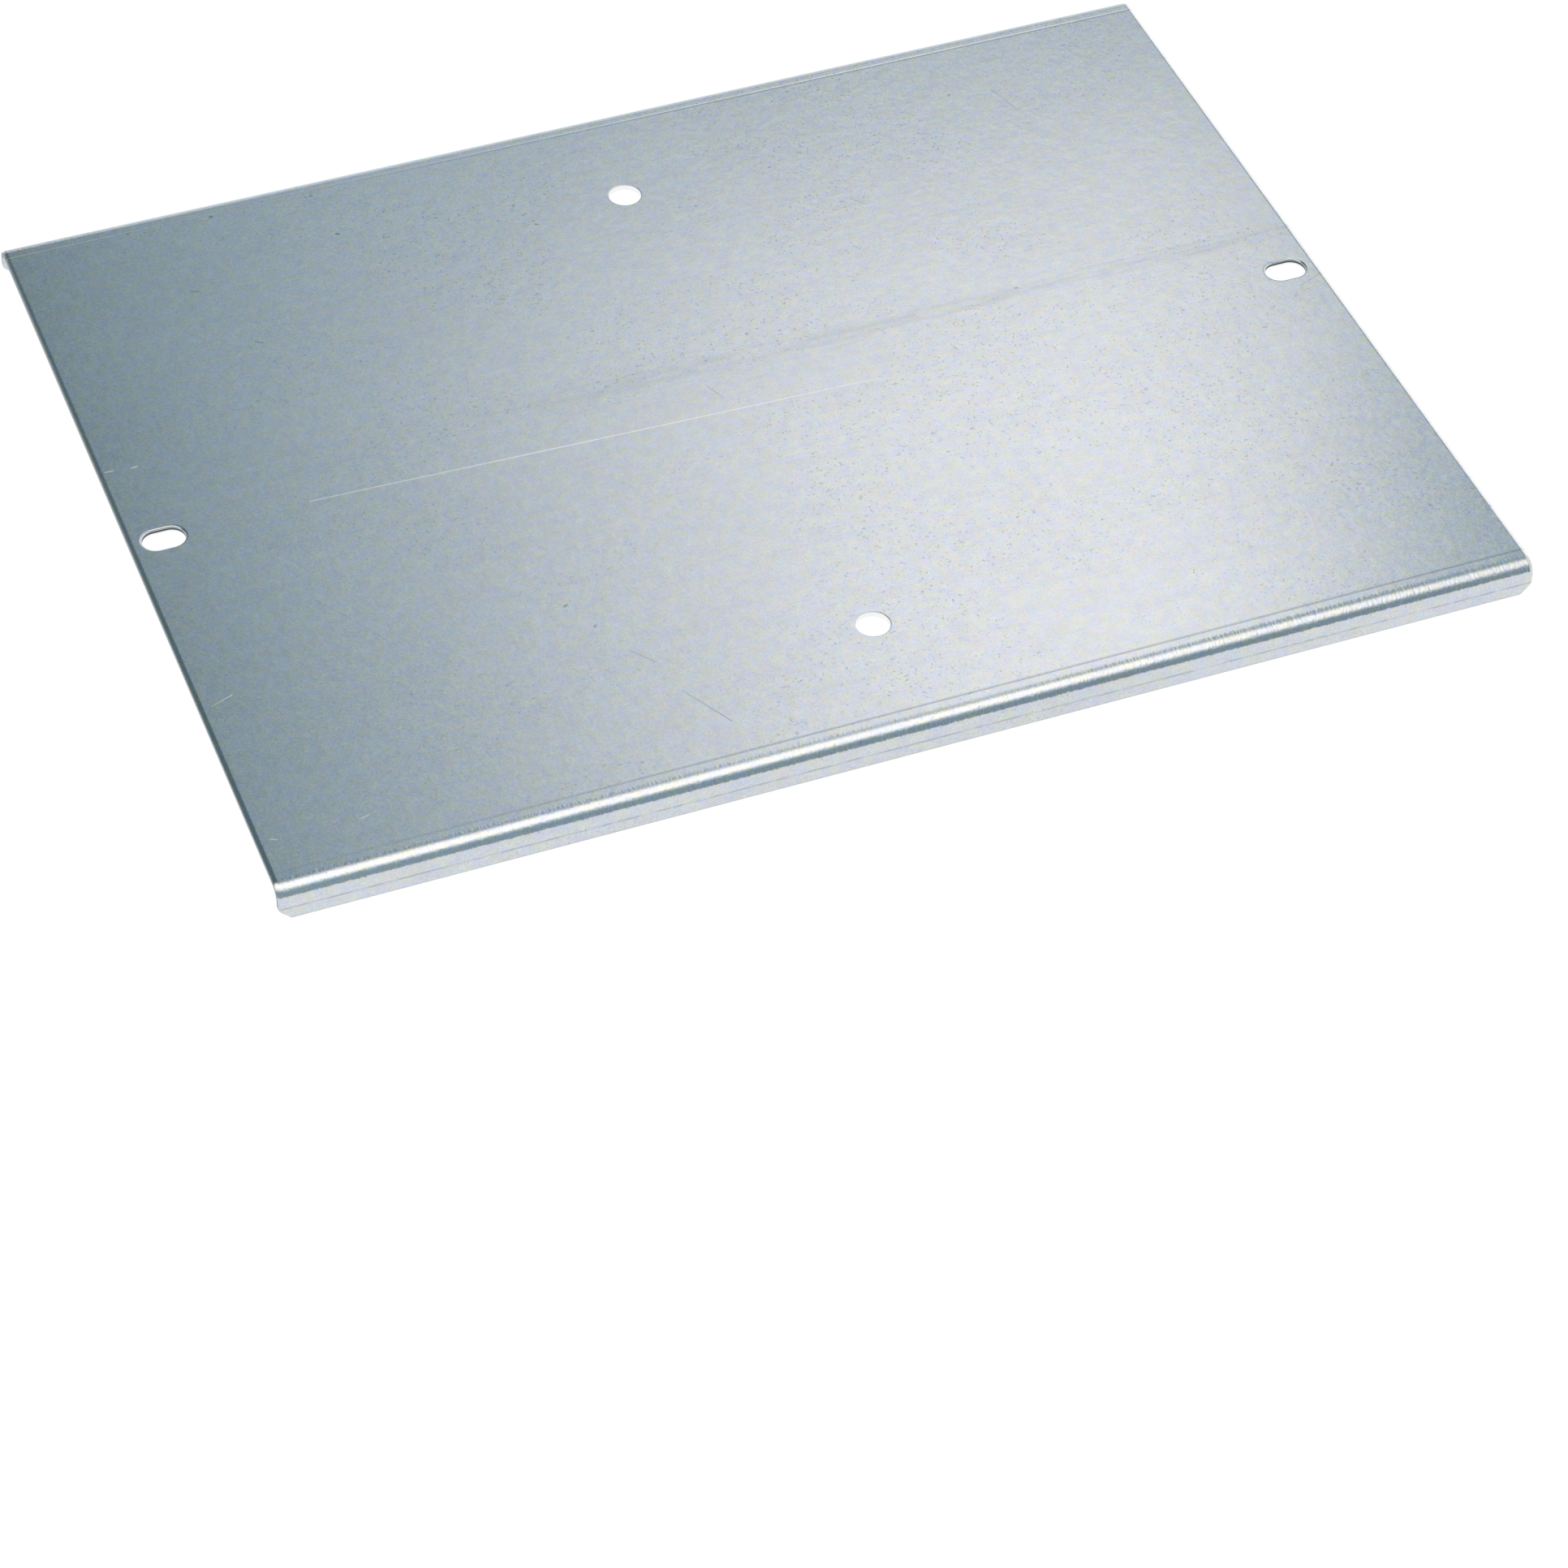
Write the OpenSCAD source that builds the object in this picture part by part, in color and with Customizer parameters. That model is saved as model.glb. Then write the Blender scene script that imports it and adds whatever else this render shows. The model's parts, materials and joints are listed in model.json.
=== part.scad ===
// Sealing plate, folded from one sheet of zinc-coated steel.
// A flat rectangular panel has its two long edges folded down square, which
// stiffens it and stands it clear of what it covers. The two short ends are
// plain sheared edges. Two round holes and two oblong holes take the fixings.
//
// Frame: X runs along the folds, Y runs across them towards the back, Z is up.
// The origin is at the middle of the footprint, level with the lower edges of
// the two flanges that the plate stands on.

/* [Panel] */
// Length along the folds, from one sheared end to the other
plate_length = 300; // [120:1:600]
// Width across the folds, over the outside of both flanges
plate_width = 232.4; // [100:0.2:500]
// Thickness of the sheet
sheet_thickness = 1.5; // [0.8:0.1:2.2]

/* [Flanges] */
// Height from the lower edge of a flange to the top face of the panel
flange_height = 8.7; // [7.6:0.1:40]
// Length of the straight cut across each lower corner, measured along each edge
corner_cut = 2.6; // [1:0.1:3]
// Radius that softens the two ends of each corner cut
corner_radius = 0.8; // [0.3:0.1:1.4]

/* [Folds] */
// Radius on the inside of each fold
fold_inner_radius = 2.5; // [0.8:0.1:3]
// Distance of the press marks from the outside corner of a fold
press_mark_offset = 5.6; // [5.4:0.1:7]
// Width of a press mark
press_mark_width = 0.7; // [0.3:0.05:0.8]
// Depth of a press mark
press_mark_depth = 0.02; // [0.01:0.005:0.05]

/* [Round holes] */
// Diameter of the two round holes
round_hole_diameter = 8; // [3:0.1:14]
// Distance from the outside of a flange to the centre of its round hole
round_hole_inset = 33.7; // [16:0.1:45]

/* [Oblong holes] */
// Width of the two oblong holes, across the plate
oblong_hole_width = 7.5; // [3:0.1:10]
// Overall length of the two oblong holes, along the plate
oblong_hole_length = 10.8; // [10.2:0.1:13]
// Distance from a sheared end to the centre of its oblong hole
oblong_hole_inset = 8.2; // [7.5:0.1:45]

/* [Sheared edges] */
// How far in from a sheared end the top face starts to roll over
end_roll_width = 1; // [0.4:0.1:1.2]
// How far the top face has dropped where it meets the sheared end
end_roll_drop = 0.3; // [0.1:0.05:0.4]
// Radius that the punch left round the top of each hole
hole_roll_radius = 0.15; // [0.05:0.05:0.3]

/* [Hidden] */
$fn = 96;

quarter_turn = 90;
half_turn = 180;
corner_cut_angle = 45;
// How far a cutting shape runs past the surface that it cuts
overshoot = 1;

half_length = plate_length / 2;
half_width = plate_width / 2;
fold_outer_radius = fold_inner_radius + sheet_thickness;
// The folds take up one outer radius of the width and of the height
panel_flat_half = half_width - fold_outer_radius;
flange_flat = flange_height - fold_outer_radius;

// A sheared end rolls over on an arc that starts level with the top face
end_roll_radius = (pow(end_roll_width, 2) + pow(end_roll_drop, 2)) / (2 * end_roll_drop);
// A press mark is a shallow arc with this radius
press_mark_radius = (pow(press_mark_width / 2, 2) + pow(press_mark_depth, 2)) / (2 * press_mark_depth);
// Distance from the end of a corner cut to where its softening arc starts
corner_tangent = corner_radius * tan(corner_cut_angle / 2);

round_hole_y = half_width - round_hole_inset;
oblong_hole_x = half_length - oblong_hole_inset;
oblong_hole_half_straight = (oblong_hole_length - oblong_hole_width) / 2;

// The sheet seen from the front, with its top face at height 0. Both sheared
// ends roll over at the top and stay square at the bottom.
module sheet_band() {
    difference() {
        translate([-half_length, -sheet_thickness])
            square([plate_length, sheet_thickness]);
        for (end = [0, 1])
            mirror([end, 0])
                end_roll();
    }
}

// What the shears rolled away at the right-hand end of the band
module end_roll() {
    difference() {
        translate([half_length - end_roll_width, -end_roll_drop])
            square([end_roll_width + overshoot, end_roll_drop + overshoot]);
        translate([half_length - end_roll_width, -end_roll_radius])
            circle(r = end_roll_radius);
    }
}

// The flat part of the panel, between the two folds
module panel() {
    translate([0, panel_flat_half, flange_height])
        rotate([quarter_turn, 0, 0])
            linear_extrude(height = 2 * panel_flat_half)
                sheet_band();
}

// The back fold: the same band, turned a quarter of a circle round the fold
module fold() {
    translate([0, panel_flat_half, flange_flat])
        rotate([0, -quarter_turn, 0])
            rotate_extrude(angle = quarter_turn)
                translate([fold_outer_radius, 0])
                    rotate(-quarter_turn)
                        sheet_band();
}

// The outline of a flange seen from the front, its lower corners cut across
module flange_outline() {
    cut_end = corner_tangent / sqrt(2);
    foot = half_length - corner_cut;
    polygon([
        [-half_length, flange_flat],
        [-half_length, corner_cut + corner_tangent],
        [-half_length + cut_end, corner_cut - cut_end],
        [-foot - cut_end, cut_end],
        [-foot + corner_tangent, 0],
        [foot - corner_tangent, 0],
        [foot + cut_end, cut_end],
        [half_length - cut_end, corner_cut - cut_end],
        [half_length, corner_cut + corner_tangent],
        [half_length, flange_flat]
    ]);
    for (end = [-1, 1]) {
        translate([end * (half_length - corner_radius), corner_cut + corner_tangent])
            circle(r = corner_radius);
        translate([end * (foot - corner_tangent), corner_radius])
            circle(r = corner_radius);
    }
}

// The back flange: the band run straight down, trimmed to the outline
module flange() {
    intersection() {
        translate([0, half_width, 0])
            linear_extrude(height = flange_flat)
                sheet_band();
        translate([0, half_width + overshoot, 0])
            rotate([quarter_turn, 0, 0])
                linear_extrude(height = sheet_thickness + 2 * overshoot)
                    flange_outline();
    }
}

// The line that the edge of the press tool left along one face of the sheet
module press_mark() {
    rotate([0, quarter_turn, 0])
        cylinder(r = press_mark_radius, h = plate_length + 2 * overshoot, center = true);
}

// The two press marks of the back fold, one on the panel and one on the flange
module press_marks() {
    stand_off = press_mark_radius - press_mark_depth;
    translate([0, half_width - press_mark_offset, flange_height + stand_off])
        press_mark();
    translate([0, half_width + stand_off, flange_height - press_mark_offset])
        press_mark();
}

// Half of what a punch removes, seen in section, with the top face at height 0
module punch_section(radius) {
    translate([0, -sheet_thickness - overshoot])
        square([radius, sheet_thickness + 2 * overshoot]);
    difference() {
        translate([0, -hole_roll_radius])
            square([radius + hole_roll_radius, hole_roll_radius + overshoot]);
        translate([radius + hole_roll_radius, -hole_roll_radius])
            circle(r = hole_roll_radius);
    }
}

// A round hole, with its top edge rolled over
module round_hole() {
    rotate_extrude()
        punch_section(round_hole_diameter / 2);
}

// An oblong hole along X: a straight middle and two half-round ends
module oblong_hole() {
    radius = oblong_hole_width / 2;
    for (end = [0, 1])
        mirror([end, 0, 0])
            translate([oblong_hole_half_straight, 0, 0])
                rotate([0, 0, -quarter_turn])
                    rotate_extrude(angle = half_turn)
                        punch_section(radius);
    for (side = [0, 1])
        mirror([0, side, 0])
            translate([-oblong_hole_half_straight, 0, 0])
                rotate([quarter_turn, 0, quarter_turn])
                    linear_extrude(height = 2 * oblong_hole_half_straight)
                        punch_section(radius);
}

// The whole plate, one folded and punched sheet
module sealing_plate() {
    color("silver")
        difference() {
            union() {
                panel();
                for (side = [0, 1])
                    mirror([0, side, 0]) {
                        fold();
                        flange();
                    }
            }
            for (side = [0, 1])
                mirror([0, side, 0])
                    press_marks();
            for (side = [-1, 1]) {
                translate([0, side * round_hole_y, flange_height])
                    round_hole();
                translate([side * oblong_hole_x, 0, flange_height])
                    oblong_hole();
            }
        }
}

sealing_plate();
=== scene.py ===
# %% [markdown]
# # A sealing plate of folded, zinc-coated sheet steel
#
# The real plate starts as a flat blank, sheared out of 1.5 mm sheet, with four
# holes punched in it. A press then folds its two long edges down square. This
# lesson makes it the same way: first the flat blank with its holes and its rolled
# edges, then the folds, and last the zinc and the light that it shines in.

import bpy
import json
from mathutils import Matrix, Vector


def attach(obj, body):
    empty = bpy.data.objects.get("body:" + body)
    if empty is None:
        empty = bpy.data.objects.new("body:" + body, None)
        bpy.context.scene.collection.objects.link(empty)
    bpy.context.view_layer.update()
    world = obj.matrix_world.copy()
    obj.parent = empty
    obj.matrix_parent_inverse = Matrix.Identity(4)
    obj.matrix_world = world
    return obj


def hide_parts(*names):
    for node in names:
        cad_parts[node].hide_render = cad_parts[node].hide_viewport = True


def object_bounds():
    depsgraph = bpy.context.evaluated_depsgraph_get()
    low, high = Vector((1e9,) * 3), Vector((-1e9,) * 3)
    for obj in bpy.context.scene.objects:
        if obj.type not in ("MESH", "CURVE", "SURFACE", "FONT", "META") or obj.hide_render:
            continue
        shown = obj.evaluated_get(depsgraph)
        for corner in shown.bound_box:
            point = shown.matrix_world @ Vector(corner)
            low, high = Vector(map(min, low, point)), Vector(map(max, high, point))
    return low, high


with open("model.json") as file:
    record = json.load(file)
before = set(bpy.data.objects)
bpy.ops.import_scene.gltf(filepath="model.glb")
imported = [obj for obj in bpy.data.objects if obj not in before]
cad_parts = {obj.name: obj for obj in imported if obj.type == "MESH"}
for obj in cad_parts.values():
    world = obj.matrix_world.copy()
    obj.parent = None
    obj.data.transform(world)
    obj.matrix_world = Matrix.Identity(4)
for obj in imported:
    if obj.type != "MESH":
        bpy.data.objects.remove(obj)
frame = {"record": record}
solid_low, solid_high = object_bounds()
print("The packed solid reaches from", tuple(solid_low), "to", tuple(solid_high))

# %% The modules that the lesson works with
import json
import math

import bpy
import numpy as np
from mathutils import Matrix, Vector

print("Blender", bpy.app.version_string)

# %% [markdown]
# ## Sizes
#
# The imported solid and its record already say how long, wide and high the plate
# is and where its holes are. Reading those numbers, and not typing them again,
# keeps the dressed plate and the solid the same size.

# %% Sizes of the plate, in millimetres
MM = 0.001

plate_size = (solid_high - solid_low) / MM
HALF_LENGTH = plate_size.x / 2
HALF_WIDTH = plate_size.y / 2
HEIGHT = plate_size.z

mounts = {mount["name"]: mount for mount in frame["record"]["mounts"]}
round_sizes = mounts["round_holes"]["dims"]
oblong_sizes = mounts["oblong_holes"]["dims"]
ROUND_RADIUS = round_sizes["hole_r_mm"]
ROUND_PLACE = round_sizes["spacing_y_mm"] / 2
OBLONG_RADIUS = oblong_sizes["hole_r_mm"]
OBLONG_CORE = oblong_sizes["slot_length_mm"] / 2 - OBLONG_RADIUS
OBLONG_PLACE = oblong_sizes["spacing_x_mm"] / 2
print("Plate", tuple(round(size, 2) for size in plate_size), "mm")
print("Round holes at y", ROUND_PLACE, "and oblong holes at x", OBLONG_PLACE)

# %% [markdown]
# ## The sheet and its folds
#
# A fold stretches the outside of the sheet and squeezes the inside. The layer in
# the middle keeps its length, so the blank is measured along that layer. Its half
# width is the flat half of the panel, a quarter circle, and the flat flange.

# %% Sizes of the sheet and its folds
SHEET = 1.5
INNER_RADIUS = 2.5
OUTER_RADIUS = INNER_RADIUS + SHEET
MIDDLE_RADIUS = INNER_RADIUS + SHEET / 2
PANEL_FLAT = HALF_WIDTH - OUTER_RADIUS
FOLD_ARC = MIDDLE_RADIUS * math.pi / 2
FLANGE_FLAT = HEIGHT - OUTER_RADIUS
BLANK_HALF = PANEL_FLAT + FOLD_ARC + FLANGE_FLAT
print("The blank is", round(2 * HALF_LENGTH, 1), "by", round(2 * BLANK_HALF, 1), "mm")

# %% Sizes of the small marks of shearing, punching and pressing
CORNER_CUT = 2.6
CORNER_RADIUS = 0.8
ROLL_WIDTH = 1.0
ROLL_DROP = 0.3
HOLE_ROLL = 0.15
SLOT_ROLL = 0.45
PRESS_OFFSET = 5.6
PRESS_WIDTH = 0.7
PRESS_DEPTH = 0.02
UPPER_BAND = 0.6
print("A sheared end rolls over by", ROLL_DROP, "mm, and a press mark is", PRESS_DEPTH, "mm deep")

# %% [markdown]
# ## The outline of the blank
#
# Shears push the sheet down before they cut it, so the top face rolls over a
# little along both short ends. The lower corners of the flanges are cut across at
# 45 degrees. Two small functions hold these shapes, and everything else asks them.

# %% How far the top face has dropped near a sheared end
ROLL_RADIUS = (ROLL_WIDTH**2 + ROLL_DROP**2) / (2 * ROLL_DROP)


def roll_drop(x):
    """Depth of the rolled edge at a distance x along the plate."""
    inside = np.clip(abs(x) - (HALF_LENGTH - ROLL_WIDTH), 0, ROLL_WIDTH)
    return ROLL_RADIUS - math.sqrt(ROLL_RADIUS**2 - inside**2)


print("At a sheared end the top face has dropped", round(roll_drop(HALF_LENGTH), 3), "mm")

# %% How long the blank is at each distance across it
CORNER_ANGLE = math.radians(45)
CORNER_TANGENT = CORNER_RADIUS * math.tan(CORNER_ANGLE / 2)
CORNER_STEP = CORNER_RADIUS * (1 - math.cos(CORNER_ANGLE))
CORNER_TOP = CORNER_CUT + CORNER_TANGENT
CORNER_BEND = CORNER_TOP - CORNER_RADIUS * math.sin(CORNER_ANGLE)


def half_length_at(across):
    """Half the blank's length at a distance across it, with its corners cut off."""
    up = max(0, BLANK_HALF - abs(across))
    if up >= CORNER_TOP:
        return HALF_LENGTH
    if up > CORNER_BEND:
        return HALF_LENGTH - CORNER_RADIUS + math.sqrt(CORNER_RADIUS**2 - (CORNER_TOP - up) ** 2)
    if up > CORNER_STEP:
        return HALF_LENGTH - CORNER_CUT + up
    foot = HALF_LENGTH - CORNER_TOP
    return foot + math.sqrt(CORNER_RADIUS**2 - (CORNER_RADIUS - up) ** 2)


print("The foot of a flange is", round(2 * half_length_at(BLANK_HALF), 2), "mm long")

# %% How deep the press has marked the sheet on both sides of a fold
PRESS_LINES = (HALF_WIDTH - PRESS_OFFSET, BLANK_HALF - (HEIGHT - PRESS_OFFSET))


def press_depth(across):
    """Depth of the shallow line that the edge of the press tool left."""
    depth = 0
    for line in PRESS_LINES:
        share = min(1, abs(abs(across) - line) / (PRESS_WIDTH / 2))
        depth += PRESS_DEPTH * (1 - share**2)
    return depth


print("The press lines lie at", [round(line, 2) for line in PRESS_LINES], "mm across the blank")

# %% [markdown]
# ## The grid of the blank
#
# A sheet is easy to model as a grid of rows and columns. They lie close together
# where the surface bends and far apart where it is flat. A row that lies just
# beside each bend, on the flat side, keeps the shading of the flat part even.

# %% Columns along the blank and rows across it
BESIDE = 0.2
CLOSEST = 0.015
PATCH = 9.0
OBLONG_PATCH = (6.6, 6.0)


def both_ways(stations):
    """The stations of one half and the same ones mirrored, in order, each once."""
    rounded = np.unique(np.round(np.concatenate(stations), 6))
    kept = [station for station, following in zip(rounded, rounded[1:])
            if following - station > CLOSEST or station == 0]
    kept.append(rounded[-1])
    return np.array([-station for station in kept[:0:-1]] + kept)


roll_angle = math.asin(ROLL_WIDTH / ROLL_RADIUS)
roll_columns = HALF_LENGTH - ROLL_WIDTH + ROLL_RADIUS * np.sin(np.linspace(0, roll_angle, 9))
columns = both_ways([
    np.linspace(0, PATCH, 11),
    np.linspace(PATCH, OBLONG_PLACE - OBLONG_PATCH[0], 9),
    np.linspace(OBLONG_PLACE - OBLONG_PATCH[0], OBLONG_PLACE + OBLONG_PATCH[0], 21),
    [HALF_LENGTH - ROLL_WIDTH - BESIDE],
    roll_columns,
])

corner_turn = np.radians(np.linspace(0, 45, 6))
press_steps = np.linspace(-PRESS_WIDTH / 2, PRESS_WIDTH / 2, 7)
rows = both_ways([
    np.linspace(0, OBLONG_PATCH[1], 9),
    np.linspace(OBLONG_PATCH[1], ROUND_PLACE - PATCH, 6),
    np.linspace(ROUND_PLACE - PATCH, ROUND_PLACE + PATCH, 21),
    [line - PRESS_WIDTH / 2 - BESIDE for line in PRESS_LINES],
    [line + PRESS_WIDTH / 2 + BESIDE for line in PRESS_LINES],
    PRESS_LINES[0] + press_steps,
    PRESS_LINES[1] + press_steps,
    [PANEL_FLAT - BESIDE],
    PANEL_FLAT + np.linspace(0, FOLD_ARC, 25),
    [PANEL_FLAT + FOLD_ARC + BESIDE],
    BLANK_HALF - CORNER_TOP + CORNER_RADIUS * np.sin(corner_turn),
    BLANK_HALF - CORNER_RADIUS * (1 - np.cos(corner_turn)),
])
print(len(columns), "columns and", len(rows), "rows")

# %% [markdown]
# ## Points and faces
#
# Each point of the blank has three numbers: along, across and how deep it lies
# below the top face. Asking for the same point twice gives the same corner back,
# so neighbouring faces share their corners and the sheet is closed all round.

# %% A store of corners and faces
# The finish of a face: the zinc coat, bright or torn cut steel, or painted shade on cut steel
ON_ZINC, BRIGHT, TORN, PAINTED_SHADE = 0.0, 0.5, 1.0, 1.5

corner_numbers = {}
corners = []
faces = []
face_finishes = []


def corner(along, across, depth):
    """The number of the corner at this place, made if it isn't there yet."""
    key = (round(along, 4), round(across, 4), round(depth, 5))
    if key not in corner_numbers:
        corner_numbers[key] = len(corners)
        corners.append((along, across, -depth))
    return corner_numbers[key]


def add_face(points, finish=ON_ZINC):
    """One face with its finish. Points that fall on the same corner count once."""
    numbers = []
    for point in points:
        number = corner(*point)
        if number not in numbers:
            numbers.append(number)
    if len(numbers) > 2:
        faces.append(numbers)
        face_finishes.append(finish)


print("A face of cut steel carries", BRIGHT, "or", TORN, "or", PAINTED_SHADE)

# %% The grid's own points
def grid_place(column, row):
    """Along and across of a grid point, drawn in where the corners are cut off."""
    across = rows[row]
    return columns[column] * half_length_at(across) / HALF_LENGTH, across


def top_point(column, row):
    """A grid point on the top face, on the rolled ends and press marks as well."""
    along, across = grid_place(column, row)
    return along, across, roll_drop(along) + press_depth(across)


def bottom_point(column, row):
    """The grid point below it, on the underside."""
    return (*grid_place(column, row), SHEET)


print("The first corner is at", [round(float(part), 2) for part in top_point(0, 0)])

# %% [markdown]
# ## The holes
#
# A punch made each hole in one stroke. A Boolean could cut them here too, but it
# would leave long thin faces round each hole, which shade unevenly. A hole needs
# rings of points round it, and the sheet needs a grid. A square patch joins the
# two: its border is on the grid, and every border point has a partner on the
# hole's rim. For an oblong hole, the rim is everything at the same distance from a
# short line, the core. A round hole has a core of no length.

# %% The four holes, each with its centre, core, radius and patch
holes = []
for side in (-1, 1):
    holes.append(dict(centre=(0, side * ROUND_PLACE), core=0, radius=ROUND_RADIUS,
                      roll=HOLE_ROLL, upper_band=UPPER_BAND, upper_finish=BRIGHT,
                      patch=(PATCH, PATCH)))
    # The band under an oblong hole's roll is painted shade
    holes.append(dict(centre=(side * OBLONG_PLACE, 0), core=OBLONG_CORE,
                      radius=OBLONG_RADIUS + HOLE_ROLL - SLOT_ROLL, roll=SLOT_ROLL,
                      upper_band=SLOT_ROLL + UPPER_BAND, upper_finish=PAINTED_SHADE,
                      patch=OBLONG_PATCH))
print("The punch makes", len(holes), "holes")


def in_a_hole(along, across):
    """True where a grid face would lie in the patch of a hole."""
    return any(
        abs(along - hole["centre"][0]) < hole["patch"][0]
        and abs(across - hole["centre"][1]) < hole["patch"][1]
        for hole in holes
    )


# %% The faces of the top and the underside
for column in range(len(columns) - 1):
    for row in range(len(rows) - 1):
        middle = (columns[column : column + 2].mean(), rows[row : row + 2].mean())
        if in_a_hole(*middle):
            continue
        loop = [(column, row), (column + 1, row), (column + 1, row + 1), (column, row + 1)]
        add_face([top_point(*place) for place in loop])
        add_face([bottom_point(*place) for place in reversed(loop)])
print(len(faces), "faces on the two sides of the sheet")

# %% [markdown]
# A punch rolls the top edge of its hole over and burnishes the wall below it. The
# oblong holes have a wider roll than the round ones, and under it a band in painted
# shade, so each wall is made in two bands that can take a finish of their own.

# %% The border of a patch and the rings inside it
def patch_border(hole):
    """The grid points round a hole's patch, in order, seen from above."""
    (cx, cy), (px, py) = hole["centre"], hole["patch"]
    xs = [x for x in columns if abs(x - cx) < px + 1e-3]
    ys = [y for y in rows if abs(y - cy) < py + 1e-3]
    border = [(x, ys[0]) for x in xs[:-1]] + [(xs[-1], y) for y in ys[:-1]]
    border += [(x, ys[-1]) for x in xs[:0:-1]] + [(xs[0], y) for y in ys[:0:-1]]
    return border


def rim(hole, reach, depth):
    """A ring of points at one distance from the hole's core."""
    ring = []
    for x, y in patch_border(hole):
        cx = hole["centre"][0] + np.clip(x - hole["centre"][0], -hole["core"], hole["core"])
        away = Vector((x - cx, y - hole["centre"][1])).normalized() * reach
        ring.append((cx + away.x, hole["centre"][1] + away.y, depth))
    return ring


print("A round hole's patch has", len(patch_border(holes[0])), "points round it")


def join_rings(outer, inner, finish=ON_ZINC):
    """A band of faces between two rings, facing up where the outer one is wider."""
    for step in range(len(outer)):
        following = (step + 1) % len(outer)
        add_face([outer[step], outer[following], inner[following], inner[step]], finish)

# %% The patches, rims and walls of the four holes
roll_turn = np.radians(np.linspace(0, 90, 6))
for hole in holes:
    radius, roll = hole["radius"], hole["roll"]
    rings = [([(x, y, 0) for x, y in patch_border(hole)], ON_ZINC)]
    rings.append((rim(hole, radius + roll + BESIDE, 0), ON_ZINC))
    for turn in roll_turn:
        reach = radius + roll * (1 - math.sin(turn))
        rings.append((rim(hole, reach, roll * (1 - math.cos(turn))), ON_ZINC))
    rings.append((rim(hole, radius, hole["upper_band"]), hole["upper_finish"]))
    rings.append((rim(hole, radius, SHEET), BRIGHT))
    rings.append(([(x, y, SHEET) for x, y in patch_border(hole)], ON_ZINC))
    for (outer, _), (inner, finish) in zip(rings, rings[1:]):
        join_rings(outer, inner, finish)
print(len(faces), "faces with the holes in")

# %% [markdown]
# ## The sheared edges
#
# The outline of the blank gets its own wall, from the top face to the underside.
# Shears leave it in two bands too. On this plate both look torn and dull, so they
# share one finish. Along the two long sides the wall becomes the lower edge of a
# flange.

# %% The walls round the outline
last_column, last_row = len(columns) - 1, len(rows) - 1
outline = [(column, 0) for column in range(last_column)]
outline += [(last_column, row) for row in range(last_row)]
outline += [(column, last_row) for column in range(last_column, 0, -1)]
outline += [(0, row) for row in range(last_row, 0, -1)]

upper = [top_point(*place) for place in outline]
middle = [(*grid_place(*place), UPPER_BAND) for place in outline]
lower = [bottom_point(*place) for place in outline]
join_rings(middle, upper, TORN)
join_rings(lower, middle, TORN)
print(len(corners), "corners and", len(faces), "faces in the blank")

# %% The blank as a mesh, in millimetres
blank_mesh = bpy.data.meshes.new("flat_blank")
blank_mesh.from_pydata(corners, [], faces)
cut_edge = blank_mesh.attributes.new("cut_edge", "FLOAT", "FACE")
cut_edge.data.foreach_set("value", face_finishes)
blank_mesh.update()
blank = bpy.data.objects.new("flat_blank", blank_mesh)
bpy.context.scene.collection.objects.link(blank)
print("The blank's mesh has", len(blank_mesh.polygons), "faces")

# %% [markdown]
# ## Adding nodes
#
# Folding, finishing and lighting are all done with nodes. One small function adds
# a node, sets its settings, and fills its inputs with a number or with a link.

# %% The function that adds a node
def add_node(tree, kind, inputs=None, **settings):
    """Adds a node. Inputs maps a socket's name or number to a value or an output."""
    node = tree.nodes.new(kind)
    for name, value in settings.items():
        setattr(node, name, value)
    for name, value in (inputs or {}).items():
        if isinstance(value, bpy.types.NodeSocket):
            tree.links.new(value, node.inputs[name])
        else:
            node.inputs[name].default_value = value
    return node


# %% [markdown]
# ## Zinc
#
# The plate is cut from sheet that ran through a bath of molten zinc. A rolled,
# chemically passivated zinc coat is a soft, bluish-grey metal with a fine spangle:
# crystals that tilt a little, so that some look cooler and some warmer. To the eye
# it is a satin metal: smooth enough to mirror the edge of a softbox, with a fine
# grain over it and faint streaks that rolling left along the sheet. Noise textures
# on Object coordinates make all of these, one for each pattern, since a noise of
# a known size in millimetres stays the same when the plate is seen from nearby.

# %% Colours written as on a screen, turned to linear light
def linear(code):
    """An sRGB hex colour as the linear colour that a shader wants."""
    parts = [int(code[start : start + 2], 16) / 255 for start in (1, 3, 5)]
    return [p / 12.92 if p <= 0.04045 else ((p + 0.055) / 1.055) ** 2.4 for p in parts] + [1]


ZINC_COOL = linear("#CAD1DE")
ZINC_WARM = linear("#D0D4D1")
ZINC_DARK = linear("#7F8B94")
ZINC_BRIGHT = linear("#F4F5F2")
TORN_STEEL = linear("#A9B1B7")
BURNISHED_STEEL = linear("#F8F9F9")
# Painted shade for the wall under an oblong hole's roll, which mirrors the shaded floor
SHADED_STEEL = linear("#5E666B")
# Two faint tints that a colour of the coat is multiplied by
GREEN_TINT = (0.988, 1.014, 0.988, 1)
ROSE_TINT = (1.012, 0.986, 1.012, 1)
print("Cool zinc is", [round(part, 3) for part in ZINC_COOL[:3]], "in linear light")

# %% [markdown]
# A scratch is a short straight line on the top face. It could be painted into a
# picture, but a measured line stays sharp from nearby. A node group measures how far
# a point of the surface lies from that line and is 1 on the line and 0 beside it.
# It works in three dimensions, so that a mark never shows through on the underside.

# %% The group for one line mark
line_mark = bpy.data.node_groups.new("line_mark", "ShaderNodeTree")
sockets = line_mark.interface
for name, kind in [("Place", "Vector"), ("Middle", "Vector"), ("Direction", "Vector"),
                   ("Half length", "Float"), ("Half width", "Float"),
                   ("Start", "Float"), ("End", "Float")]:
    sockets.new_socket(name, in_out="INPUT", socket_type="NodeSocket" + kind)
sockets.new_socket("Mark", in_out="OUTPUT", socket_type="NodeSocketFloat")

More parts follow.
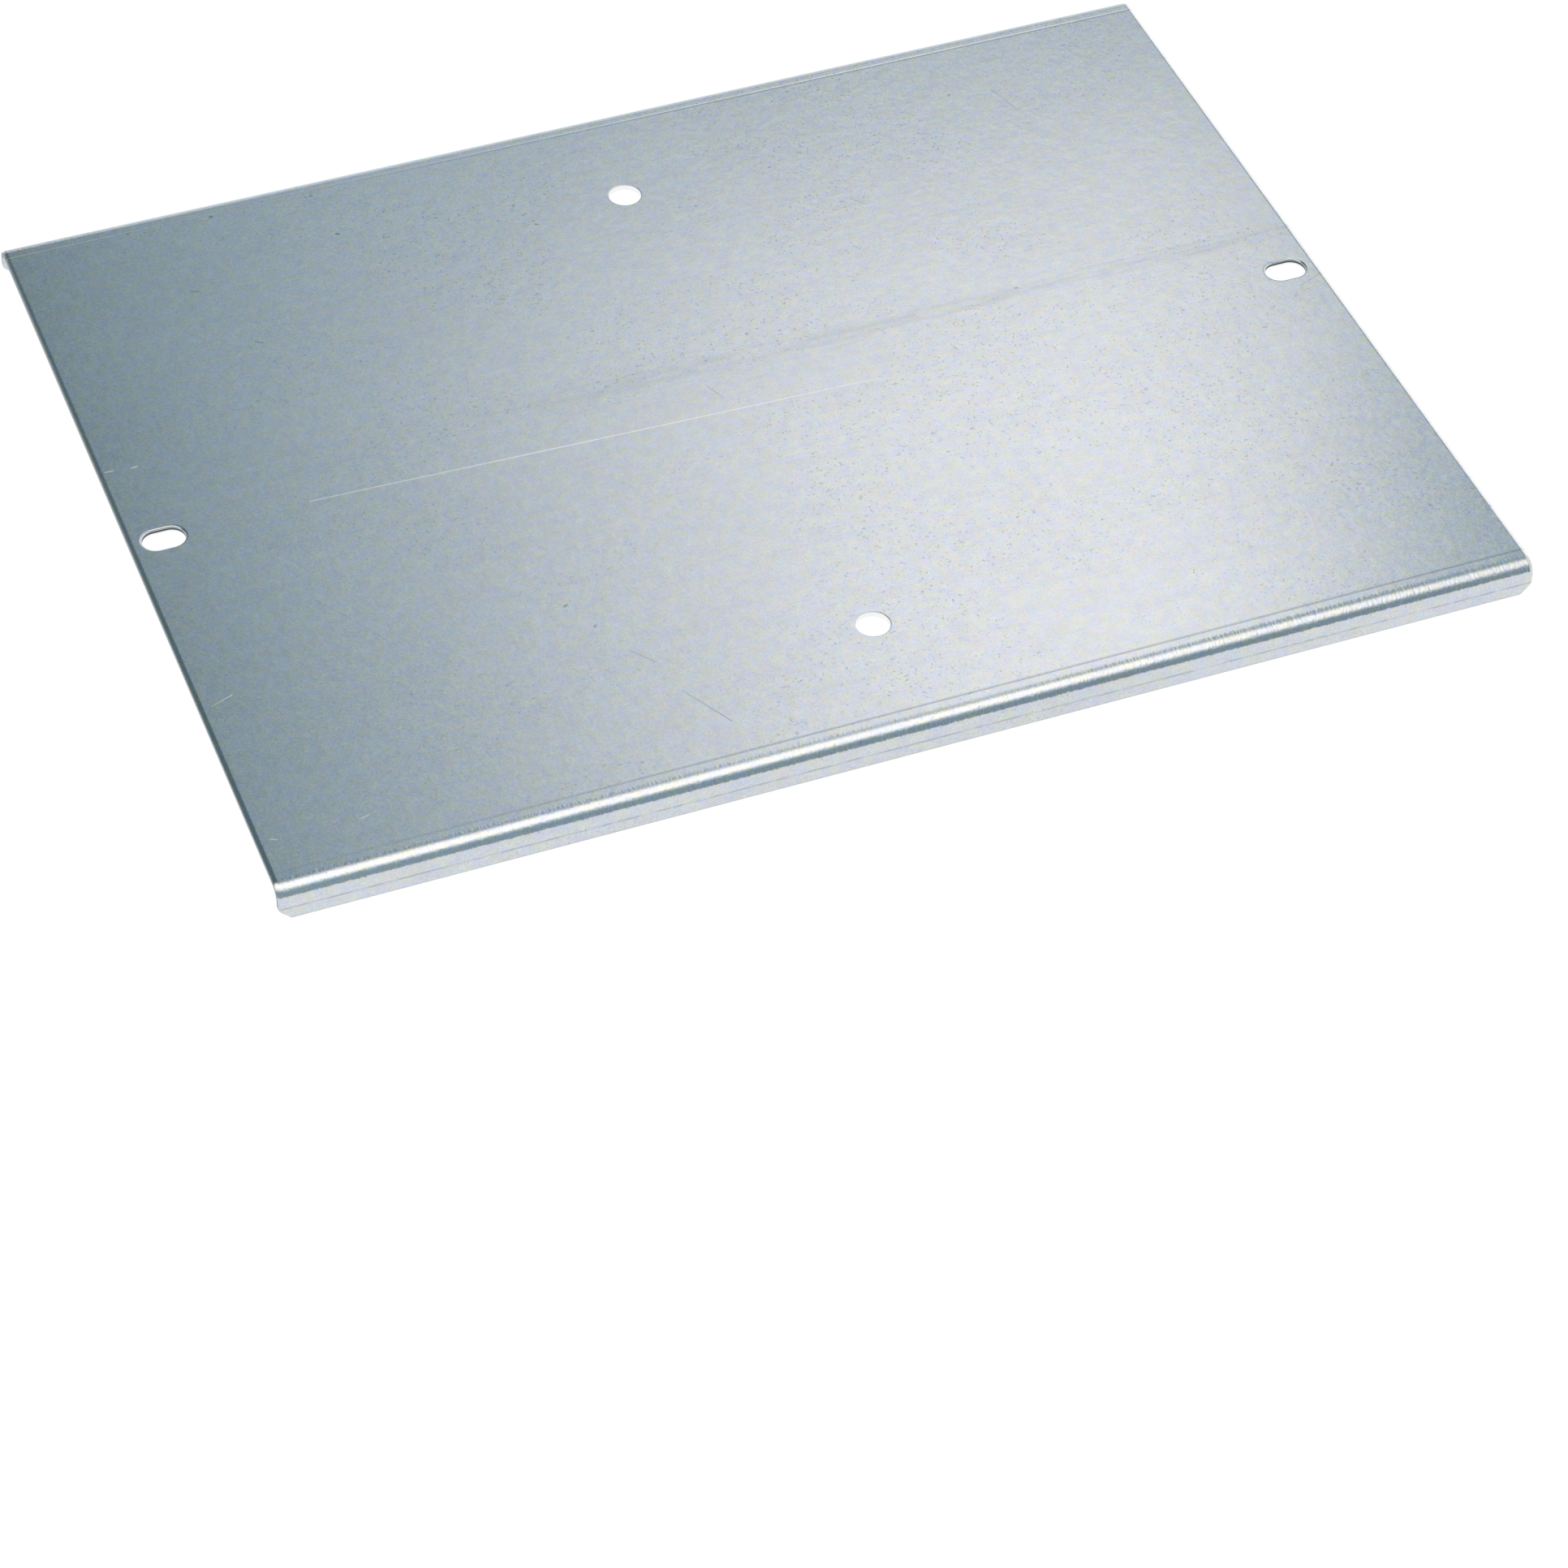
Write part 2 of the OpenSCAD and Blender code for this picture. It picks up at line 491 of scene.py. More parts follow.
given = add_node(line_mark, "NodeGroupInput").outputs
from_middle = add_node(line_mark, "ShaderNodeVectorMath",
                       {0: given["Place"], 1: given["Middle"]}, operation="SUBTRACT")
along_line = add_node(line_mark, "ShaderNodeVectorMath",
                      {0: from_middle.outputs[0], 1: given["Direction"]}, operation="DOT_PRODUCT")
backwards = add_node(line_mark, "ShaderNodeMath",
                     {0: given["Half length"], 1: -1.0}, operation="MULTIPLY")
held = add_node(line_mark, "ShaderNodeClamp",
                {"Value": along_line.outputs["Value"], "Min": backwards.outputs[0],
                 "Max": given["Half length"]})
nearest = add_node(line_mark, "ShaderNodeVectorMath",
                   {0: given["Direction"], "Scale": held.outputs[0]}, operation="SCALE")
gap = add_node(line_mark, "ShaderNodeVectorMath",
               {0: from_middle.outputs[0], 1: nearest.outputs[0]}, operation="DISTANCE")
cover = add_node(line_mark, "ShaderNodeMapRange",
                 {"Value": gap.outputs["Value"], "From Min": given["Half width"],
                  "From Max": 0.0, "To Min": 0.0, "To Max": 1.0}, interpolation_type="SMOOTHSTEP")
fading = add_node(line_mark, "ShaderNodeMapRange",
                  {"Value": held.outputs[0], "From Min": backwards.outputs[0],
                   "From Max": given["Half length"], "To Min": given["Start"],
                   "To Max": given["End"]})
mark = add_node(line_mark, "ShaderNodeMath",
                {0: cover.outputs[0], 1: fading.outputs[0]}, operation="MULTIPLY")
add_node(line_mark, "NodeGroupOutput", {"Mark": mark.outputs[0]})
print("A line mark takes", len(line_mark.nodes), "nodes")

# %% [markdown]
# The marks themselves are in three lists. A scratch is bright and as smooth as the
# coat. A glint is a small nick, rougher, so that it catches light from more sides.
# A dark mark is a spot or a line where the coat is dull. Each entry says where the
# mark starts and ends, in millimetres from the plate's middle, how far it reaches
# to each side of its line, and how strong it is at both ends.

# %% Handling marks on the top face
SCRATCHES = [
    ((-106.7, 0.6), (-37.1, -1.7), 0.36, 1.0, 0.9),
    ((-37.1, -1.7), (33.5, -3.9), 0.32, 0.85, 0.30),
    ((-40.1, 9.6), (-7.7, 9.6), 0.20, 0.25, 0.25),
    ((40.9, 12.0), (149.8, 11.6), 0.35, 0.12, 0.12),
]
GLINTS = [
    ((-148.2, 26.4), (-146.6, 26.4), 0.38, 0.8, 0.9),
    ((-142.1, 25.8), (-140.9, 26.0), 0.42, 0.9, 1.0),
    ((-146.6, 26.4), (-142.1, 25.9), 0.20, 0.2, 0.3),
    ((-147.0, -56.8), (-141.9, -54.9), 0.36, 0.4, 0.9),
    ((-146.9, -100.5), (-145.5, -101.1), 0.34, 0.8, 0.8),
    ((-126.5, -101.2), (-124.8, -100.8), 0.34, 0.8, 0.8),
    ((-62.6, -67.8), (-59.2, -67.4), 0.38, 0.7, 0.9),
    ((-119.0, -15.3), (-116.0, -19.6), 0.25, 0.3, 0.3),
    ((-126.0, -18.1), (-123.8, -18.7), 0.25, 0.3, 0.3),
]
DARK_MARKS = [
    ((-54.5, -71.6), (-50.4, -77.0), 0.28, 0.35, 0.49),
    ((-47.8, -87.9), (-40.9, -100.7), 0.28, 0.35, 0.63),
    ((102.2, 91.4), (105.2, 81.5), 0.30, 0.35, 0.35),
    ((52.0, 62.1), (54.9, 58.8), 0.30, 0.35, 0.35),
    ((-6.5, 7.9), (-4.1, 2.1), 0.30, 0.35, 0.35),
    ((-115.5, -31.8), (-109.0, -41.7), 0.30, 0.15, 0.15),
    ((-109.0, -41.7), (-101.3, -55.0), 0.30, 0.15, 0.15),
    ((-117.0, -47.2), (-106.0, -47.2), 0.25, 0.10, 0.10),
    ((142.6, -6.8), (148.9, -4.4), 0.35, 0.28, 0.28),
    ((-63.3, -53.2), (-62.7, -52.8), 0.55, 0.70, 0.70),
    ((-59.2, -61.8), (-58.8, -61.4), 0.45, 0.70, 0.70),
    ((-98.8, 109.1), (-98.4, 109.1), 0.60, 0.90, 0.90),
    ((-73.3, 108.6), (-72.9, 108.6), 0.50, 0.80, 0.80),
    ((-71.6, 92.2), (-71.2, 92.0), 0.60, 0.90, 0.90),
    ((-47.1, 90.0), (-46.7, 89.8), 0.45, 0.70, 0.70),
    ((-24.6, 79.2), (-24.2, 79.0), 0.50, 0.80, 0.80),
    ((-111.1, 83.1), (-109.7, 82.4), 0.45, 0.50, 0.50),
    ((-102.1, 59.7), (-100.5, 58.7), 0.45, 0.50, 0.50),
    ((52.8, 108.1), (53.2, 108.1), 0.50, 0.70, 0.70),
    ((91.0, 92.8), (91.4, 92.8), 0.45, 0.70, 0.70),
    ((76.9, 16.0), (77.3, 16.0), 0.50, 0.70, 0.70),
]
print(len(SCRATCHES), "scratches,", len(GLINTS), "glints and", len(DARK_MARKS), "dark marks")


def add_marks(tree, place, marks):
    """Adds one group for each mark, keeps the strongest of them, and gives that output."""
    total = None
    for start, end, half_width, at_start, at_end in marks:
        line = Vector(end) - Vector(start)
        middle = (Vector(start) + Vector(end)) / 2
        one = add_node(tree, "ShaderNodeGroup", node_tree=line_mark)
        tree.links.new(place, one.inputs["Place"])
        one.inputs["Middle"].default_value = (middle.x, middle.y, HEIGHT)
        one.inputs["Direction"].default_value = (*line.normalized(), 0)
        one.inputs["Half length"].default_value = line.length / 2
        one.inputs["Half width"].default_value = half_width
        one.inputs["Start"].default_value = at_start
        one.inputs["End"].default_value = at_end
        if total is None:
            total = one.outputs[0]
        else:
            total = add_node(tree, "ShaderNodeMath", {0: total, 1: one.outputs[0]},
                             operation="MAXIMUM").outputs[0]
    return total


# %% The zinc coat and its patterns, by their size in millimetres
zinc = bpy.data.materials.new("hot_dip_zinc_coat")
zinc.use_nodes = True
tree = zinc.node_tree
tree.nodes.clear()

place = add_node(tree, "ShaderNodeTexCoord").outputs["Object"]
place_mm = add_node(tree, "ShaderNodeVectorMath", {0: place, "Scale": 1 / MM},
                    operation="SCALE").outputs[0]


def pattern(size, detail=2.0, stretch=1.0, name=""):
    """A pattern whose blots are about this many millimetres, drawn out along the folds."""
    scaled = add_node(tree, "ShaderNodeMapping",
                      {"Vector": place_mm, "Scale": (1 / (size * stretch), 1 / size, 1 / size)})
    return add_node(tree, "ShaderNodeTexNoise",
                    {"Vector": scaled.outputs[0], "Scale": 1.0, "Detail": detail,
                     "Roughness": 0.55}, label=name).outputs["Fac"]


# Sizes of the patterns in millimetres. A real spangle of this kind is well under
# a millimetre wide, too fine to show, so it is drawn as coarse as it needs to show.
SPANGLE = 2.3
SECOND_SPANGLE = 2.6
GRAIN = 0.5
FLECK = 0.75
FLECK_PATCH = 26.0
BLOTCH = 4.0
STREAK = 0.9
CLOUD = 38.0
ROLLER_LINE = 0.55
WEAR = 2.0
SPECK_SPACING = 7.0
DASH = 1.1
STRETCH_MARK = 1.8

spangle = pattern(SPANGLE, detail=1.0, name="spangle")
second_spangle = pattern(SECOND_SPANGLE, detail=1.0, name="second spangle")
grain = pattern(GRAIN, name="grain")
flecks = pattern(FLECK, name="flecks")
fleck_patches = pattern(FLECK_PATCH, detail=1.0, stretch=1.5, name="patches of flecks")
blotches = pattern(BLOTCH, name="blotches")
streaks = pattern(STREAK, detail=3.0, stretch=60.0, name="rolling streaks")
clouds = pattern(CLOUD, stretch=1.5, name="handling clouds")
print("The patterns are from", GRAIN, "to", CLOUD, "mm wide")

# %% [markdown]
# A finish is laid over the coat where it belongs, as strongly as a few limits say.
# A limit is a number, a pattern, or a value with the two numbers between which the
# finish comes up softly. Two more numbers may say how strong it is at both ends. All
# limits of one finish are multiplied. That says in one line what would otherwise
# take a row of nodes for each mark of wear.

# %% How strongly a finish shows, and laying it over the coat
def strength(*limits):
    """The product of all limits: how strongly a finish shows at each point."""
    total = None
    for limit in limits:
        if isinstance(limit, tuple):
            value, low, high, *levels = limit
            at_low, at_high = levels or (0.0, 1.0)
            limit = add_node(tree, "ShaderNodeMapRange",
                             {"Value": value, "From Min": low, "From Max": high,
                              "To Min": at_low, "To Max": at_high},
                             interpolation_type="SMOOTHSTEP").outputs[0]
        if total is None:
            total = limit
        else:
            total = add_node(tree, "ShaderNodeMath", {0: total, 1: limit},
                             operation="MULTIPLY").outputs[0]
    return total


def laid_over(under, over, *limits):
    """One finish laid over another, as strongly as the limits say."""
    return add_node(tree, "ShaderNodeMix", {0: strength(*limits), 6: under, 7: over},
                    data_type="RGBA").outputs[2]

# %% Shading the coat by a pattern
PATTERN_RANGE = (0.3, 0.7)


def shaded(colour, pattern_value, darkest, lightest):
    """Multiplies a colour by a tone that follows a pattern."""
    tone = add_node(tree, "ShaderNodeMapRange",
                    {"Value": pattern_value, "From Min": PATTERN_RANGE[0],
                     "From Max": PATTERN_RANGE[1], "To Min": darkest, "To Max": lightest})
    return add_node(tree, "ShaderNodeVectorMath", {0: colour, "Scale": tone.outputs[0]},
                    operation="SCALE").outputs[0]


print("A pattern's values mostly lie from", PATTERN_RANGE[0], "to", PATTERN_RANGE[1])

# %% Tones of the coat
# Each pair is the darkest and the lightest tone that a pattern gives the coat
SPANGLE_EDGES = (0.34, 0.66)
GRAIN_TONES = (0.93, 1.095)
BLOTCH_TONES = (0.97, 1.03)
STREAK_TONES = (0.98, 1.01)
CLOUD_TONES = (0.985, 1.015)

coat = laid_over(ZINC_COOL, ZINC_WARM, (spangle, *SPANGLE_EDGES))
tint = laid_over(GREEN_TINT, ROSE_TINT, (second_spangle, *SPANGLE_EDGES))
coat = add_node(tree, "ShaderNodeMix", {0: 1.0, 6: coat, 7: tint},
                data_type="RGBA", blend_type="MULTIPLY").outputs[2]
coat = shaded(coat, grain, *GRAIN_TONES)
coat = shaded(coat, blotches, *BLOTCH_TONES)
coat = shaded(coat, streaks, *STREAK_TONES)
coat = shaded(coat, clouds, *CLOUD_TONES)
print("The coat's tones take", len(tree.nodes), "nodes")

# %% [markdown]
# Where the sheet was drawn over a worn roller, a band of fine lines runs along it
# behind the middle. Small dark flecks lie in loose patches.

# %% The roller's band
# Where the band and its darker core start and where they are full, in millimetres
BAND_FRONT, BAND_BACK, BAND_LEFT = (6.5, 10.0), (20.0, 17.5), (-150.0, -90.0)
CORE_FRONT, CORE_BACK, CORE_LEFT = (11.0, 14.0), (18.5, 15.0), (-100.0, 0.0)
BAND_WEAR, CORE_WEAR = (0.35, 0.60, 0.35, 1.0), (0.38, 0.62, 0.1, 1.0)
LINE_TONES = (0.955, 1.035)
CORE_STRENGTH = 0.15

along = add_node(tree, "ShaderNodeSeparateXYZ", {0: place_mm}).outputs
lines = pattern(ROLLER_LINE, stretch=90.0, name="roller lines")
wear = pattern(WEAR, detail=3.0, stretch=7.0, name="wear of the band")
coat = laid_over(coat, shaded(coat, lines, *LINE_TONES),
                 (along["Y"], *BAND_FRONT), (along["Y"], *BAND_BACK),
                 (along["X"], *BAND_LEFT), (wear, *BAND_WEAR))
coat = laid_over(coat, ZINC_DARK,
                 (along["Y"], *CORE_FRONT), (along["Y"], *CORE_BACK),
                 (along["X"], *CORE_LEFT), (wear, *CORE_WEAR), CORE_STRENGTH)
print("The roller's band runs from y", BAND_FRONT[0], "to", BAND_BACK[0], "mm")

# %% The flecks, in patches and fewer of them at the left end
FLECK_EDGES = (0.60, 0.72)
FLECK_PATCHES = (0.40, 0.60, 0.15, 1.0)
FLECK_SPREAD = (-150.0, -40.0, 0.35, 1.0)
FLECK_STRENGTH = 0.50

coat = laid_over(coat, ZINC_DARK,
                 (flecks, *FLECK_EDGES), (fleck_patches, *FLECK_PATCHES),
                 (along["X"], *FLECK_SPREAD), FLECK_STRENGTH)
print("The flecks are", FLECK, "mm wide, in patches of", FLECK_PATCH, "mm")

# %% Specks, small round spots where the coat is dull
SPECK_REACH = (0.07, 0.02)
SPECK_PICK = (0.45, 1.0, 0.0, 0.6)
SPECK_SPREAD = (-60.0, 60.0, 0.3, 1.0)

speck_cells = add_node(tree, "ShaderNodeTexVoronoi",
                       {"Vector": place_mm, "Scale": 1 / SPECK_SPACING})
speck_pick = add_node(tree, "ShaderNodeSeparateXYZ", {0: speck_cells.outputs["Color"]}).outputs
coat = laid_over(coat, ZINC_DARK,
                 (speck_cells.outputs["Distance"], *SPECK_REACH),
                 (speck_pick["X"], *SPECK_PICK), (along["Y"], *SPECK_SPREAD))
print("A speck reaches", round(SPECK_REACH[0] * SPECK_SPACING, 2), "mm from its middle")

# %% [markdown]
# The press tool has rubbed the coat dull along its four lines. They show less at
# the left end, where the panel mirrors little light.

# %% The rubbed lines of the press tool, and painted shade at the foot of the flange
# How far down from the outer face of the sheet a rubbed line is seen
SKIN = (0.6, 0.3)
# Where it starts to show and where it is full, to each side of its line
RUB_EDGES = (PRESS_WIDTH * 0.6, PRESS_WIDTH * 0.15)
PANEL_RUB = (-150.0, -20.0, 0.08, 0.38)
FLANGE_RUB = 0.42
DASH_LEVELS = (0.35, 0.60, 0.3, 1.0)
FOOT_SHADE = (0.6, 0.0, 0.0, 0.16)

across = add_node(tree, "ShaderNodeMath", {0: along["Y"]}, operation="ABSOLUTE").outputs[0]


def off_line(value, line):
    """How far a value is from where a line of the press tool runs."""
    off = add_node(tree, "ShaderNodeMath", {0: value, 1: line}, operation="SUBTRACT").outputs[0]
    return add_node(tree, "ShaderNodeMath", {0: off}, operation="ABSOLUTE").outputs[0]


coat = laid_over(coat, ZINC_DARK,
                 (off_line(across, HALF_WIDTH - PRESS_OFFSET), *RUB_EDGES),
                 (along["Z"], HEIGHT - SKIN[0], HEIGHT - SKIN[1]),
                 (along["X"], *PANEL_RUB))
dashes = pattern(DASH, detail=1.0, stretch=3.0, name="dashes of the rubbed line")
coat = laid_over(coat, ZINC_DARK,
                 (off_line(along["Z"], HEIGHT - PRESS_OFFSET), *RUB_EDGES),
                 (across, HALF_WIDTH - SKIN[0], HALF_WIDTH - SKIN[1]),
                 (dashes, *DASH_LEVELS), FLANGE_RUB)
# Painted shade: the coat darkens towards the foot of each flange, next to the floor
coat = laid_over(coat, ZINC_DARK, (along["Z"], *FOOT_SHADE))
print("The rubbed lines lie", PRESS_OFFSET, "mm from the corners of the folds")

# %% The handling marks over it
scratches = add_marks(tree, place_mm, SCRATCHES)
glints = add_marks(tree, place_mm, GLINTS)
dark = add_marks(tree, place_mm, DARK_MARKS)
coat = laid_over(coat, ZINC_DARK, dark)
coat = laid_over(coat, ZINC_BRIGHT, scratches)
coat = laid_over(coat, ZINC_BRIGHT, glints)
print("With its marks the coat takes", len(tree.nodes), "nodes")

# %% [markdown]
# Where the sheet was cut, the steel is bare. The finish that every face carries in
# its attribute picks one of three looks for it: bright, torn, or painted shade under
# the roll of an oblong hole. The coat itself is satin, a little rougher in some grains
# than in others. Its relief is a few thousandths of a millimetre deep. Over the fold
# the coat was stretched, and small ripples across it make the edges of the bright
# line ragged.

# %% Bare steel, roughness and relief
ZINC_ROUGHNESS = (0.15, 0.18)
GLINT_ROUGHNESS = 0.45
BRIGHT_ROUGHNESS = 0.30
TORN_ROUGHNESS = 0.55
RELIEF_DEPTH = 0.003
SPANGLE_RELIEF = 3.0
STRETCH_RELIEF = 12.0
LOWER_STRETCH_RELIEF = 24.0
FOLD_EDGE = (PANEL_FLAT - 0.2, PANEL_FLAT + 0.8)
LOWER_FOLD = (PANEL_FLAT + 2.0, PANEL_FLAT + 2.8)

finish = add_node(tree, "ShaderNodeAttribute", attribute_name="cut_edge").outputs["Fac"]
is_cut = add_node(tree, "ShaderNodeMath", {0: finish, 1: BRIGHT / 2},
                  operation="GREATER_THAN").outputs[0]
steel = laid_over(BURNISHED_STEEL, TORN_STEEL, (finish, BRIGHT, TORN))
# Faces in painted shade, under the roll of an oblong hole, turn dark
steel = laid_over(steel, SHADED_STEEL, (finish, TORN, PAINTED_SHADE))
colour = laid_over(coat, steel, is_cut)

roughness = add_node(tree, "ShaderNodeMapRange",
                     {"Value": grain, "From Min": PATTERN_RANGE[0],
                      "From Max": PATTERN_RANGE[1], "To Min": ZINC_ROUGHNESS[0],
                      "To Max": ZINC_ROUGHNESS[1]}).outputs[0]
roughness = add_node(tree, "ShaderNodeMix",
                     {0: glints, 2: roughness, 3: GLINT_ROUGHNESS}).outputs[0]
cut_roughness = add_node(tree, "ShaderNodeMapRange",
                         {"Value": finish, "From Min": BRIGHT, "From Max": TORN,
                          "To Min": BRIGHT_ROUGHNESS,
                          "To Max": TORN_ROUGHNESS}).outputs[0]
roughness = add_node(tree, "ShaderNodeMix",
                     {0: is_cut, 2: roughness, 3: cut_roughness}).outputs[0]

relief = add_node(tree, "ShaderNodeMath", {0: spangle, 1: SPANGLE_RELIEF, 2: grain},
                  operation="MULTIPLY_ADD").outputs[0]
stretched = pattern(STRETCH_MARK, detail=1.0, stretch=0.4, name="coat stretched over the fold")
on_fold = strength((across, *FOLD_EDGE),
                   (across, *LOWER_FOLD, STRETCH_RELIEF, LOWER_STRETCH_RELIEF))
relief = add_node(tree, "ShaderNodeMath", {0: stretched, 1: on_fold, 2: relief},
                  operation="MULTIPLY_ADD").outputs[0]
bump = add_node(tree, "ShaderNodeBump",
                {"Height": relief, "Strength": 1.0, "Distance": RELIEF_DEPTH * MM})
surface = add_node(tree, "ShaderNodeBsdfPrincipled",
                   {"Base Color": colour, "Metallic": 1.0, "Roughness": roughness,
                    "Normal": bump.outputs[0]})
add_node(tree, "ShaderNodeOutputMaterial", {"Surface": surface.outputs[0]})
print("The zinc has", len(tree.nodes), "nodes")

# %% [markdown]
# ## Folding the blank
#
# Folding moves every point of the sheet by one rule, so Geometry Nodes do it. A
# point on the flat panel stays. A point on the fold turns round the fold's centre
# by an angle that grows with its distance from the start of the fold. A point
# beyond it has turned by the full quarter and runs straight down. The blank's
# depth below the top face becomes a smaller radius, and so the sheet keeps its
# thickness all the way round. A bevelled box would look much the same from afar,
# but its rolled ends and press marks wouldn't run round the fold as these do. The
# rule is a table: each row names a number, the arithmetic, and what it works on.

# %% The rule of the fold as a node tree
fold = bpy.data.node_groups.new("fold_both_edges", "GeometryNodeTree")
sockets = fold.interface
sockets.new_socket("Geometry", in_out="INPUT", socket_type="NodeSocketGeometry")
for name in ("Panel flat half", "Outer radius", "Middle radius", "Height"):
    sockets.new_socket(name, in_out="INPUT", socket_type="NodeSocketFloat")
sockets.new_socket("Finish", in_out="INPUT", socket_type="NodeSocketMaterial")
sockets.new_socket("Geometry", in_out="OUTPUT", socket_type="NodeSocketGeometry")
given = add_node(fold, "NodeGroupInput").outputs

place = add_node(fold, "ShaderNodeSeparateXYZ",
                 {0: add_node(fold, "GeometryNodeInputPosition").outputs[0]}).outputs
numbers = {"along": place["X"], "across": place["Y"], "above": place["Z"]}
for name in ("Panel flat half", "Outer radius", "Middle radius", "Height"):
    numbers[name] = given[name]

FOLD_STEPS = [
    ("distance", "ABSOLUTE", "across"),
    ("side", "SIGN", "across"),
    ("beyond the flat", "SUBTRACT", "distance", "Panel flat half"),
    ("past", "MAXIMUM", "beyond the flat", 0.0),
    ("arc", "MULTIPLY", "Middle radius", math.pi / 2),
    ("on the fold", "MINIMUM", "past", "arc"),
    ("angle", "DIVIDE", "on the fold", "Middle radius"),
    ("radius", "ADD", "Outer radius", "above"),
    ("flat part", "MINIMUM", "distance", "Panel flat half"),
    ("sine", "SINE", "angle"),
    ("outwards", "MULTIPLY_ADD", "radius", "sine", "flat part"),
    ("sideways", "MULTIPLY", "side", "outwards"),
    ("fold centre", "SUBTRACT", "Height", "Outer radius"),
    ("cosine", "COSINE", "angle"),
    ("up on the fold", "MULTIPLY_ADD", "radius", "cosine", "fold centre"),
    ("straight down", "SUBTRACT", "past", "on the fold"),
    ("upwards", "SUBTRACT", "up on the fold", "straight down"),
]
for name, operation, *sources in FOLD_STEPS:
    step = add_node(fold, "ShaderNodeMath",
                    {slot: numbers.get(source, source) for slot, source in enumerate(sources)},
                    operation=operation, label=name)
    numbers[name] = step.outputs[0]
print("The rule of the fold has", len(FOLD_STEPS), "steps")

# %% The folded points, back in metres and in their finish
folded_place = add_node(fold, "ShaderNodeCombineXYZ",
                        {"X": numbers["along"], "Y": numbers["sideways"],
                         "Z": numbers["upwards"]})
in_metres = add_node(fold, "ShaderNodeVectorMath",
                     {0: folded_place.outputs[0], "Scale": MM}, operation="SCALE")
moved = add_node(fold, "GeometryNodeSetPosition",
                 {"Geometry": given["Geometry"], "Position": in_metres.outputs[0]})
real = add_node(fold, "GeometryNodeRealizeInstances", {"Geometry": moved.outputs[0]})
finished = add_node(fold, "GeometryNodeSetMaterial",
                    {"Geometry": real.outputs[0], "Material": given["Finish"]})
add_node(fold, "NodeGroupOutput", {"Geometry": finished.outputs[0]})
print("The fold's tree has", len(fold.nodes), "nodes")

# %% The fold applied to the blank
fold_sizes = {"Panel flat half": PANEL_FLAT, "Outer radius": OUTER_RADIUS,
              "Middle radius": MIDDLE_RADIUS, "Height": HEIGHT, "Finish": zinc}
press = blank.modifiers.new("press", "NODES")
press.node_group = fold
for item in fold.interface.items_tree:
    if item.in_out == "INPUT" and item.name in fold_sizes:
        press[item.identifier] = fold_sizes[item.name]

evaluated = blank.evaluated_get(bpy.context.evaluated_depsgraph_get())
plate_mesh = bpy.data.meshes.new_from_object(evaluated)
plate_mesh.name = "folded_plate"
bpy.data.objects.remove(blank)
top = max(vertex.co.z for vertex in plate_mesh.vertices)
print("The folded sheet is", round(top / MM, 2), "mm high")

# %% [markdown]
# Smooth shading rounds the folds and the rolled edges. Where two faces meet at a
# clear angle, as at a sheared corner, the edge is marked sharp and stays crisp.

# %% The finished plate
SHARP_ANGLE = math.radians(30)

for polygon in plate_mesh.polygons:
    polygon.use_smooth = True
plate_mesh.set_sharp_from_angle(angle=SHARP_ANGLE)
plate = bpy.data.objects.new("folded_plate", plate_mesh)
bpy.context.scene.collection.objects.link(plate)
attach(plate, "root")
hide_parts("sealing_plate")
print("The folded plate has", len(plate_mesh.polygons), "faces")

# %% [markdown]
# ## Floor
#
# The plate lies on a plain white floor. A white floor under softboxes alone would
# come out grey, and more light would bleach the zinc. So the floor shines as white
# for the camera, for reflections and through the holes, and it still takes a soft
# shadow, so the plate sits on it and doesn't float.

# %% The floor and its paper
FLOOR_REACH = 4.0
FLOOR_GAP = 0.02
FLOOR_GLOW = 0.97

floor_mesh = bpy.data.meshes.new("studio_floor")
floor_corners = [(-FLOOR_REACH, -FLOOR_REACH, 0), (FLOOR_REACH, -FLOOR_REACH, 0),
                 (FLOOR_REACH, FLOOR_REACH, 0), (-FLOOR_REACH, FLOOR_REACH, 0)]
floor_mesh.from_pydata(floor_corners, [], [(0, 1, 2, 3)])
floor = bpy.data.objects.new("studio_floor", floor_mesh)
floor.location.z = -FLOOR_GAP * MM
bpy.context.scene.collection.objects.link(floor)

paper = bpy.data.materials.new("white_paper_sweep")
paper.use_nodes = True
tree = paper.node_tree
tree.nodes.clear()
ray = add_node(tree, "ShaderNodeLightPath").outputs
seen = add_node(tree, "ShaderNodeMath", {0: ray["Is Camera Ray"], 1: ray["Is Glossy Ray"]},
                operation="MAXIMUM")
seen = add_node(tree, "ShaderNodeMath", {0: seen.outputs[0], 1: ray["Is Transmission Ray"]},
                operation="MAXIMUM")
lit = add_node(tree, "ShaderNodeBsdfDiffuse", {"Color": linear("#505050")})
glow = add_node(tree, "ShaderNodeEmission", {"Color": linear("#FFFFFF"), "Strength": FLOOR_GLOW})
white = add_node(tree, "ShaderNodeAddShader", {0: lit.outputs[0], 1: glow.outputs[0]})
either = add_node(tree, "ShaderNodeMixShader",
                  {0: seen.outputs[0], 1: lit.outputs[0], 2: white.outputs[0]})
add_node(tree, "ShaderNodeOutputMaterial", {"Surface": either.outputs[0]})
floor_mesh.materials.append(paper)
print("The floor is", 2 * FLOOR_REACH, "m wide")

# %% [markdown]
# ## Light
#
# Bare metal shows its surroundings more than its own colour, so the light is a
# room around the plate and no lamp. The room is a dull blue-grey. One softbox
# stands low behind the plate: the panel mirrors it, bright on the right and fading
# to dusk on the left. The other hangs overhead and a little in front. The fold
# mirrors it as a bright line, with the gap between the two as a dark line above it
# and the room in front as a dark band below it. A glow low behind and on the far
# right lights the rolled edges.
#
# Two numbers tell a direction. Sideways is its X part. Lean is its angle from
# straight up in degrees, counted towards the back.

